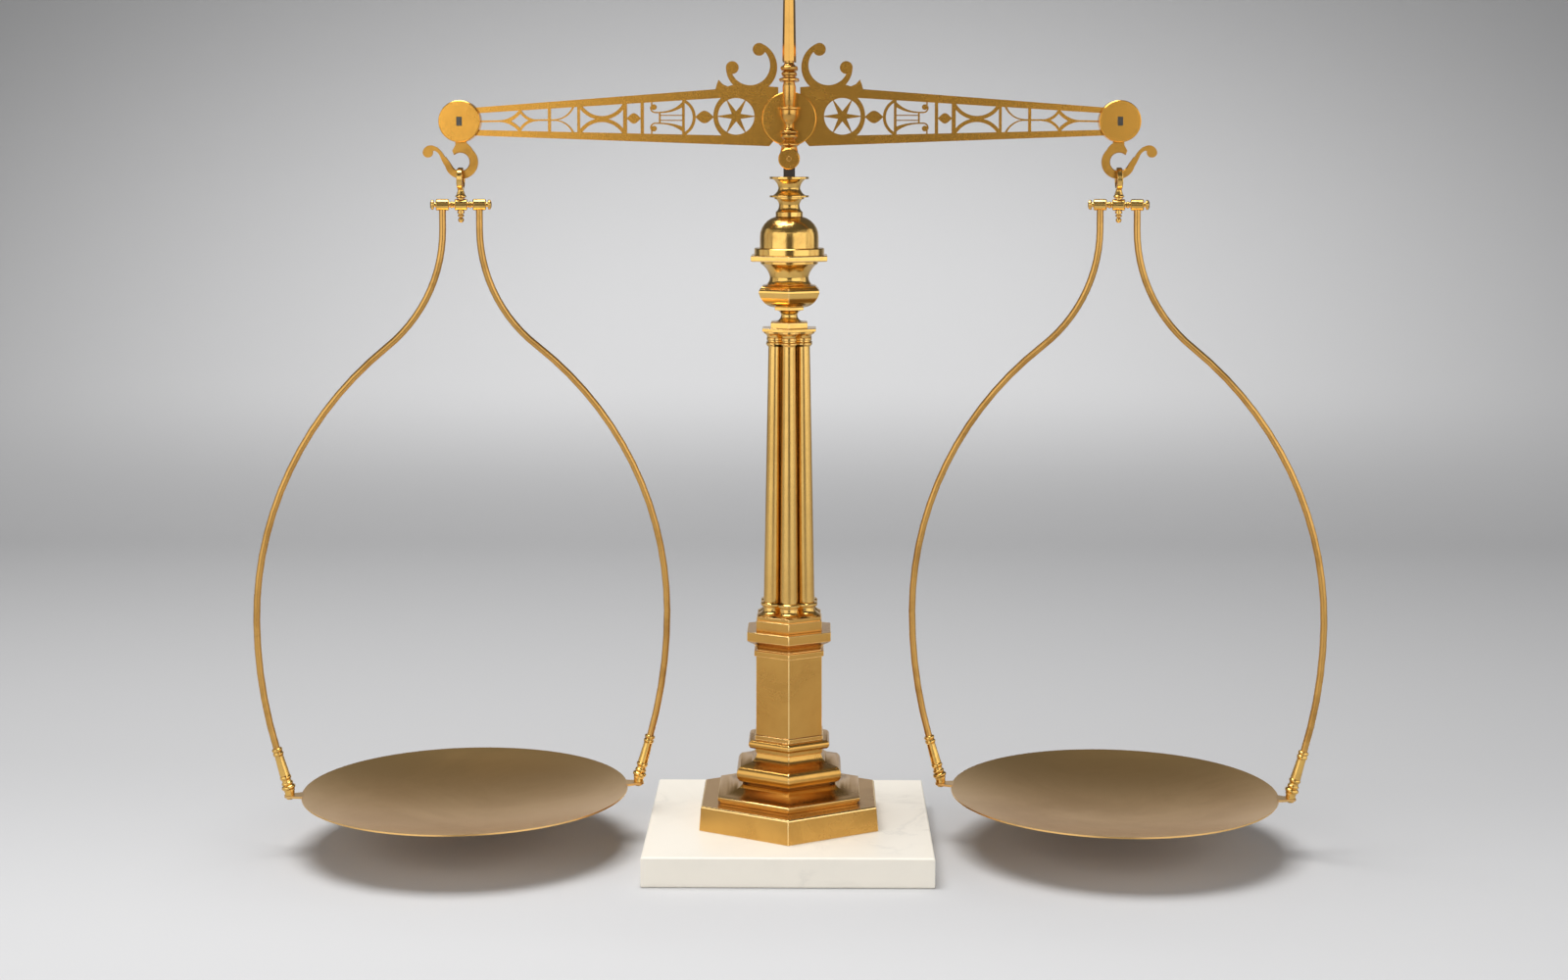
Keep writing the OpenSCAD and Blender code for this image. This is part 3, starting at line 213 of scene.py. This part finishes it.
# Painted shade: the wall darkens towards its upper corners and the floor towards the back.
wall = mixed_colour(tree, ramp(tree, distance, low=0.15, high=1.25), LIT_WALL_MIDDLE, SHADED_WALL_CORNERS)
floor = mixed_colour(tree, ramp(tree, place["Y"], low=-0.35, high=0.35), LIT_NEAR_FLOOR, SHADED_FAR_FLOOR)
floor = mixed_colour(tree, ramp(tree, place["Y"], low=-2.6, high=-1.9), DARK_FLOOR, floor)
colour = mixed_colour(tree, ramp(tree, place["Z"], low=0.0, high=0.22), floor, wall)
set_inputs(tree, shader, Base_Color=colour, Roughness=0.9, Specular_IOR_Level=0.1)

back_side = add(tree, "ShaderNodeNewGeometry").outputs["Backfacing"]
clear = add(tree, "ShaderNodeBsdfTransparent")
either = add(tree, "ShaderNodeMixShader", Fac=back_side)
put(tree, shader.outputs[0], either.inputs[1])
put(tree, clear.outputs[0], either.inputs[2])
set_inputs(tree, tree.nodes["Material Output"], Surface=either.outputs[0])
sweep.data.materials.append(paper)

# %% [markdown]
# ## Lamps
# Polished metal shows its surroundings as clearly as it shows its shape. The key lamp hangs
# overhead, a little to the left: it lights the floor, draws the soft shadows and gives the
# dome its spark, while the sloping faces of the pedestal don't mirror it and stay dark. Large
# dim panels stand left and right of the camera and beside the scale. They are mirrored by
# round pieces and by the flat beam, and the gap in the middle, where a photographer would
# stand, darkens the beam's middle. A small panel above the gap is so dim that it adds only
# a few faint glints.

# %% Lamps
def panel(name, place, target, width, height, power):
    data = bpy.data.lights.new(name, "AREA")
    data.shape = "RECTANGLE"
    data.size = width
    data.size_y = height
    data.energy = power
    lamp = bpy.data.objects.new(name, data)
    lamp.location = place
    lamp.rotation_euler = (Vector(target) - Vector(place)).to_track_quat("-Z", "Y").to_euler()
    lamp.visible_camera = False
    bpy.context.collection.objects.link(lamp)
    print("lamp:", name, power, "W")


foot, middle, upper = (0, 0, 0), (0, 0, 0.6), (0, 0, 0.7)
panel("key_lamp", (-0.42, 0.05, 2.6), foot, width=1.5, height=1.5, power=66)
panel("left_panel", (-1.95, -2.35, 1.1), middle, width=3.4, height=2.4, power=36)
panel("right_panel", (2.15, -2.3, 1.1), middle, width=3.3, height=2.4, power=36)
panel("left_side_panel", (-3.3, 0.2, 1.1), middle, width=2.6, height=2.4, power=12)
panel("right_side_panel", (3.4, 0.2, 1.1), middle, width=2.6, height=2.4, power=19)
panel("high_panel", (0.1, -3.4, 1.9), upper, width=0.9, height=0.9, power=1.3)

world = bpy.data.worlds.new("studio")
world.use_nodes = True
background = world.node_tree.nodes["Background"]
set_inputs(world.node_tree, background, Color=(0.9, 0.9, 0.92, 1), Strength=0.13)
bpy.context.scene.world = world

# %% [markdown]
# ## Effects that several finishes share
# Old brass is never one colour. Fingers and polish leave it clean on the crowns and brown in
# soft patches elsewhere, and cloth leaves very fine scratches. Both effects are node groups
# with named inputs and outputs, built once and placed in each finish with its own values.

# %% Helper: a new group
FLOAT, COLOUR, VECTOR = "NodeSocketFloat", "NodeSocketColor", "NodeSocketVector"


def new_group(name, inputs, outputs):
    group = bpy.data.node_groups.new(name, "ShaderNodeTree")
    for label, kind, value in inputs:
        socket = group.interface.new_socket(label, in_out="INPUT", socket_type=kind)
        socket.default_value = value
    for label, kind in outputs:
        group.interface.new_socket(label, in_out="OUTPUT", socket_type=kind)
    return group, add(group, "NodeGroupInput").outputs, add(group, "NodeGroupOutput")


# %% Group: tarnish
tarnish, given, result = new_group(
    "tarnish",
    [("Clean", COLOUR, (0.7, 0.45, 0.15, 1)), ("Brown", COLOUR, (0.3, 0.15, 0.05, 1)),
     ("Scale", FLOAT, 20), ("Amount", FLOAT, 0.5), ("Smooth", FLOAT, 0.15), ("Dull", FLOAT, 0.4)],
    [("Color", COLOUR), ("Roughness", FLOAT)])
place = object_coordinates(tarnish)
clouds = noise(tarnish, place, given["Scale"], detail=6, roughness=0.62, distortion=0.6)
patches = maths(tarnish, "MULTIPLY", ramp(tarnish, clouds, low=0.42, high=0.72), given["Amount"])
specks = noise(tarnish, place, scale=900, detail=2, roughness=0.5)
grains = maths(tarnish, "MULTIPLY", ramp(tarnish, specks, low=0.62, high=0.8), 0.12)
mask = maths(tarnish, "ADD", patches, grains, clamp=True)
span = maths(tarnish, "SUBTRACT", given["Dull"], given["Smooth"])
set_inputs(tarnish, result,
           Color=mixed_colour(tarnish, mask, given["Clean"], given["Brown"]),
           Roughness=maths(tarnish, "ADD", given["Smooth"], maths(tarnish, "MULTIPLY", span, mask)))
print("group:", tarnish.name, len(tarnish.nodes), "nodes")

# %% Group: fine scratches
scratches, given, result = new_group(
    "fine_scratches",
    [("Vector", VECTOR, (0, 0, 0)), ("Scale", FLOAT, 200), ("Stretch", VECTOR, (1, 1, 12))],
    [("Height", FLOAT)])
stretched = add(scratches, "ShaderNodeVectorMath", {"operation": "MULTIPLY"})
put(scratches, given["Vector"], stretched.inputs[0])
put(scratches, given["Stretch"], stretched.inputs[1])
fine = noise(scratches, stretched.outputs[0], given["Scale"], detail=3, roughness=0.7)
set_inputs(scratches, result, Height=fine)
print("group:", scratches.name, len(scratches.nodes), "nodes")

# %% [markdown]
# ## Brass
# One function makes every brass of the scale. It places the tarnish group, which feeds the
# colour and the roughness, and the scratches, which feed a faint bump. The scratches run
# round a turned piece, and a file leaves them across the beam. The finishes differ in their
# two colours, the size of the patches and how far the metal is polished.

# %% Brass finishes
ROUND_THE_PIECE = (1, 1, 12)
ACROSS_THE_BEAM = (12, 1, 1)


def tarnished(tree, clean, brown, scale, amount, smooth, dull):
    return add(tree, "ShaderNodeGroup", {"node_tree": tarnish}, Clean=clean, Brown=brown,
               Scale=scale, Amount=amount, Smooth=smooth, Dull=dull).outputs


def brass_finish(name, bump, stretch=ROUND_THE_PIECE, **skin_values):
    material, tree, shader = new_material(name)
    skin = tarnished(tree, **skin_values)
    lines = add(tree, "ShaderNodeGroup", {"node_tree": scratches},
                Vector=object_coordinates(tree), Scale=170.0, Stretch=stretch)
    relief = add(tree, "ShaderNodeBump", Strength=bump, Distance=0.2 * MM,
                 Height=lines.outputs["Height"])
    set_inputs(tree, shader, Base_Color=skin["Color"], Roughness=skin["Roughness"],
               Normal=relief.outputs["Normal"], Metallic=1.0)
    return material


polished_brass = brass_finish(
    "polished_brass", clean=(0.80, 0.50, 0.14, 1), brown=(0.36, 0.18, 0.04, 1),
    scale=26.0, amount=0.45, smooth=0.16, dull=0.32, bump=0.12)
shaft_brass = brass_finish(
    "shaft_brass", clean=(0.78, 0.49, 0.15, 1), brown=(0.50, 0.28, 0.07, 1),
    scale=9.0, amount=0.5, smooth=0.22, dull=0.32, bump=0.1)
column_brass = brass_finish(
    "column_brass", clean=(0.60, 0.335, 0.085, 1), brown=(0.37, 0.185, 0.042, 1),
    scale=14.0, amount=0.5, smooth=0.24, dull=0.36, bump=0.05)
beam_brass = brass_finish(
    "beam_brass", clean=(0.86, 0.435, 0.075, 1), brown=(0.64, 0.30, 0.05, 1),
    scale=22.0, amount=0.5, smooth=0.25, dull=0.34, bump=0.2, stretch=ACROSS_THE_BEAM)
# Paler brass for the bevels of rubbed edges: worn clean, and partly a painted highlight.
rubbed_and_highlit_brass = brass_finish(
    "rubbed_and_highlit_brass", clean=(0.95, 0.66, 0.28, 1), brown=(0.80, 0.50, 0.17, 1),
    scale=26.0, amount=0.3, smooth=0.22, dull=0.30, bump=0.0)
rod_brass = brass_finish(
    "rod_brass", clean=(0.64, 0.36, 0.10, 1), brown=(0.36, 0.18, 0.045, 1),
    scale=24.0, amount=0.6, smooth=0.30, dull=0.42, bump=0.2)
hook_brass = brass_finish(
    "hook_brass", clean=(0.66, 0.34, 0.065, 1), brown=(0.36, 0.17, 0.03, 1),
    scale=60.0, amount=0.5, smooth=0.34, dull=0.45, bump=0.25)

# %% [markdown]
# ## Pan brass
# The pans are spun from sheet and worn by years of use, so they are dull and brown. Their
# colour turns a little paler towards the rim. The spinning leaves faint rings. A Mapping node
# centres the pattern on each pan, whose middle is the middle of its box, and the distance from
# there draws the rings and the paler rim.

# %% Pan finishes
PALER_RIM = (0.80, 0.52, 0.21, 1)
paler_from, paler_to = 110 * MM, 152 * MM


def pan_finish(side):
    low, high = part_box(side + "_pan")
    centre = (Vector(low) + Vector(high)) / 2
    material, tree, shader = new_material(side + "_pan_brass")
    moved = add(tree, "ShaderNodeMapping", Vector=object_coordinates(tree),
                Location=(-centre.x, -centre.y, 0.0)).outputs[0]
    flat = add(tree, "ShaderNodeVectorMath", {"operation": "MULTIPLY"})
    put(tree, moved, flat.inputs[0])
    put(tree, (1, 1, 0), flat.inputs[1])
    length = add(tree, "ShaderNodeVectorMath", {"operation": "LENGTH"})
    put(tree, flat.outputs[0], length.inputs[0])
    radius = length.outputs["Value"]
    skin = tarnished(tree, clean=(0.72, 0.44, 0.16, 1), brown=(0.56, 0.32, 0.11, 1),
                     scale=7.0, amount=0.6, smooth=0.28, dull=0.36)
    # The colour turns paler towards the rim, by the distance from the pan's middle.
    towards_rim = ramp(tree, radius, low=paler_from, high=paler_to, out_high=0.4)
    colour = mixed_colour(tree, towards_rim, skin["Color"], PALER_RIM)
    rings = add(tree, "ShaderNodeCombineXYZ", X=radius).outputs[0]
    ring_height = noise(tree, rings, scale=420.0, detail=3, roughness=0.7)
    relief = add(tree, "ShaderNodeBump", Strength=0.22, Distance=0.3 * MM, Height=ring_height)
    set_inputs(tree, shader, Base_Color=colour, Roughness=skin["Roughness"],
               Normal=relief.outputs["Normal"], Metallic=1.0)
    return material


pan_brass = {side: pan_finish(side) for side in SIDES}

# %% [markdown]
# ## Steel
# The knives, their bearings and the tie rod with its nut are hardened steel that has gone
# dark. It is a plain dark metal with a little of the same tarnish group.

# %% Steel finish
steel, tree, shader = new_material("dark_steel")
skin = tarnished(tree, clean=(0.13, 0.12, 0.105, 1), brown=(0.06, 0.048, 0.04, 1),
                 scale=60.0, amount=0.6, smooth=0.32, dull=0.5)
set_inputs(tree, shader, Base_Color=skin["Color"], Roughness=skin["Roughness"], Metallic=1.0)

# %% [markdown]
# ## Marble
# The slab is white marble, honed and slightly yellowed, with faint clouds, a few soft brown
# smudges and thin broken veins. The clouds are one noise, and the smudges a second one that
# a Mapping node draws out to one side. A vein is where a warped noise crosses its middle
# value: the nearer to it, the darker.

# %% Marble finish
WHITE, CLOUD = (0.91, 0.855, 0.75, 1), (0.82, 0.775, 0.685, 1)
SMUDGE, VEIN = (0.66, 0.61, 0.53, 1), (0.50, 0.48, 0.44, 1)
half_way = 0.5

marble, tree, shader = new_material("white_marble")
place = object_coordinates(tree)
clouds = noise(tree, place, scale=9.0, detail=6, roughness=0.6, distortion=0.8)
clouds = ramp(tree, clouds, low=0.45, high=0.75)
drawn_out = add(tree, "ShaderNodeMapping", Vector=place, Rotation=(0.3, 0.2, 0.7),
                Scale=(1, 3.2, 2)).outputs[0]
smudges = noise(tree, drawn_out, scale=7.0, detail=5, roughness=0.55, distortion=1.2)
smudges = ramp(tree, smudges, low=0.60, high=0.80)
level = noise(tree, place, scale=6.0, detail=7, roughness=0.62, distortion=1.4)
away = maths(tree, "ABSOLUTE", maths(tree, "SUBTRACT", level, half_way))
veins = ramp(tree, away, low=0.0, high=0.03, out_low=1.0, out_high=0.0)
gaps = ramp(tree, noise(tree, place, scale=14.0, detail=3), low=0.52, high=0.7)
veins = maths(tree, "MULTIPLY", veins, gaps)
colour = mixed_colour(tree, maths(tree, "MULTIPLY", clouds, 0.45), WHITE, CLOUD)
colour = mixed_colour(tree, maths(tree, "MULTIPLY", smudges, 0.7), colour, SMUDGE)
colour = mixed_colour(tree, maths(tree, "MULTIPLY", veins, 0.22), colour, VEIN)
honed = ramp(tree, clouds, low=0.0, high=1.0, out_low=0.34, out_high=0.44)
set_inputs(tree, shader, Base_Color=colour, Roughness=honed, Specular_IOR_Level=0.45)

# %% [markdown]
# ## Smooth copies of the pieces
# A node of the frame is loose triangles, so light breaks on every one of them. The cure is
# to copy its mesh, merge the points that lie on each other, dissolve the edges inside flat
# faces, and shade it smooth with its true edges kept sharp. A piece that others rub on may
# also be worn, which moves its faces inwards by that much.

# %% Helper: a clean mesh of a node
merge_distance = 0.002 * MM
flat_within = 0.4


def clean_mesh(node, crease, worn):
    bm = bmesh.new()
    bm.from_mesh(frame["nodes"][node].data)
    bmesh.ops.remove_doubles(bm, verts=bm.verts, dist=merge_distance)
    bmesh.ops.dissolve_limit(bm, angle_limit=math.radians(flat_within), verts=bm.verts,
                             edges=bm.edges)
    bm.normal_update()
    for vert in bm.verts:
        vert.co -= vert.normal * worn * MM
    mesh = bpy.data.meshes.new(node + "_dressed")
    bm.to_mesh(mesh)
    bm.free()
    mesh.materials.clear()
    mesh.shade_smooth()
    mesh.set_sharp_from_angle(angle=math.radians(crease))
    return mesh


# %% [markdown]
# ## Eased edges
# A real edge is never a perfect line: a narrow bevel, a few tenths of a millimetre, catches
# the light. It may also get a paler finish of its own, which is both wear, where hands and
# cloths have rubbed it, and a painted highlight along the edge. Where a flat face runs into a
# round rim, weighted normals let the large face win, or its shading would lean. The copy then
# stands for its node.

# %% Helper: a dressed piece
USUAL_CREASE, ROUND_CREASE = 32, 40
bevel_margin = 4
bodies = frame["record"]["behaviour"]["bodies"]


def ease_edges(piece, edge, crease, rubbed_and_highlit):
    bevel = piece.modifiers.new("eased_edges", "BEVEL")
    bevel.width = edge * MM
    bevel.segments = 2
    bevel.limit_method = "ANGLE"
    bevel.angle_limit = math.radians(crease + bevel_margin)
    bevel.harden_normals = True
    bevel.use_clamp_overlap = True
    # The bevel gets the paler finish: rubbed wear and a painted highlight on the edge.
    if rubbed_and_highlit:
        piece.data.materials.append(rubbed_and_highlit)
        bevel.material = 1


def dress(node, finish, edge, crease, rubbed_and_highlit, worn):
    mesh = clean_mesh(node, crease, worn)
    mesh.materials.append(finish)
    piece = bpy.data.objects.new(node + "_dressed", mesh)
    bpy.context.collection.objects.link(piece)
    if edge:
        ease_edges(piece, edge, crease, rubbed_and_highlit)
    weighted = piece.modifiers.new("flat_faces_first", "WEIGHTED_NORMAL")
    weighted.keep_sharp = True
    body = next(name for name, nodes in bodies.items() if node in nodes)
    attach(piece, body)
    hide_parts(node)
    return piece


def dress_all(nodes, finish, edge=0.2, crease=USUAL_CREASE, rubbed_and_highlit=None, worn=0.0):
    pieces = [dress(node, finish, edge, crease, rubbed_and_highlit, worn) for node in nodes]
    faces = sum(len(piece.data.polygons) for piece in pieces)
    print("dressed:", len(pieces), "pieces,", faces, "faces,", finish.name)


# %% [markdown]
# ## Slab and pedestal
# The slab and the hexagonal mouldings are flat faces that meet in long edges. Their edges
# have been rubbed by polishing for a century, so they get the widest bevels. On the brass the
# bevels also get a paler edge finish, which is partly a painted highlight.

# %% Slab and pedestal
dress_all(["marble_slab"], marble, edge=0.6)
dress_all(["plinth", "stepped_foot", "pedestal_base", "pedestal_die", "pedestal_cap",
           "column_seat"], column_brass, edge=0.55, rubbed_and_highlit=rubbed_and_highlit_brass)

# %% [markdown]
# ## Column
# The shafts and the mouldings over them are turned, so only their rims stay sharp. The
# abacus, the bowl and the cornice are hexagonal. Like the pedestal's, their edges are rubbed
# and carry a painted highlight.

# %% Column
shafts = ["colonnette_%d" % number for number in range(1, 7)]
dress_all(shafts + ["column_core", "cluster_base", "cluster_capital"], shaft_brass, edge=0.15)
dress_all(["abacus", "bowl", "cornice"], polished_brass, edge=0.4, rubbed_and_highlit=rubbed_and_highlit_brass)
dress_all(["lower_neck", "upper_neck", "dome_plate", "dome", "spool"], polished_brass, edge=0.25)

# %% [markdown]
# ## Yoke
# The yoke carries the beam: a short barrel on the tie rod's square head, and two uprights
# whose cups hold hard steel blocks and whose spires are joined by a bridge at the top.

# %% Yoke
dress_all(["front_upright", "rear_upright", "top_bridge"], column_brass)
# The barrel's and the screws' edges get the paler rubbed finish, which is partly a painted highlight.
dress_all(["yoke_barrel", "yoke_screws"], beam_brass, edge=0.3, rubbed_and_highlit=rubbed_and_highlit_brass)
dress_all(["tie_rod", "tie_nut", "knife_bearings"], steel, edge=0.15)

# %% [markdown]
# ## Beam
# The beam is sawn from thick sheet and filed to a satin finish. Discs cover its middle and
# its ends, and the ends of the steel knives show in them.

# %% Beam
dress_all(["beam_plate", "front_centre_disc", "rear_centre_disc", "left_cheeks", "right_cheeks",
           "pointer"], beam_brass, edge=0.25)
dress_all(["centre_knife", "left_knife", "right_knife"], steel, edge=0.0)

# %% [markdown]
# ## Hangings
# Hooks, eyes, crossbars, bow rods and pans are the same on both sides, each pair on bodies
# of its own. In the frame the eyes touch the hooks' throats at the ends of their swing, so
# the hooks are worn by a hair here, and nothing touches. The rods and the pans are round all
# over, so fewer of their edges count as sharp.

# %% Hangings
for side in SIDES:
    dress_all([side + "_hook"], hook_brass, edge=0.35, worn=0.15)
    dress_all([side + "_eye", side + "_crossbar", side + "_finial_nut", side + "_ferrules",
               side + "_pan_nuts"], polished_brass)
    dress_all([side + "_inner_rod", side + "_outer_rod"], rod_brass, edge=0.0,
              crease=ROUND_CREASE)
    dress_all([side + "_pan"], pan_brass[side], crease=ROUND_CREASE)
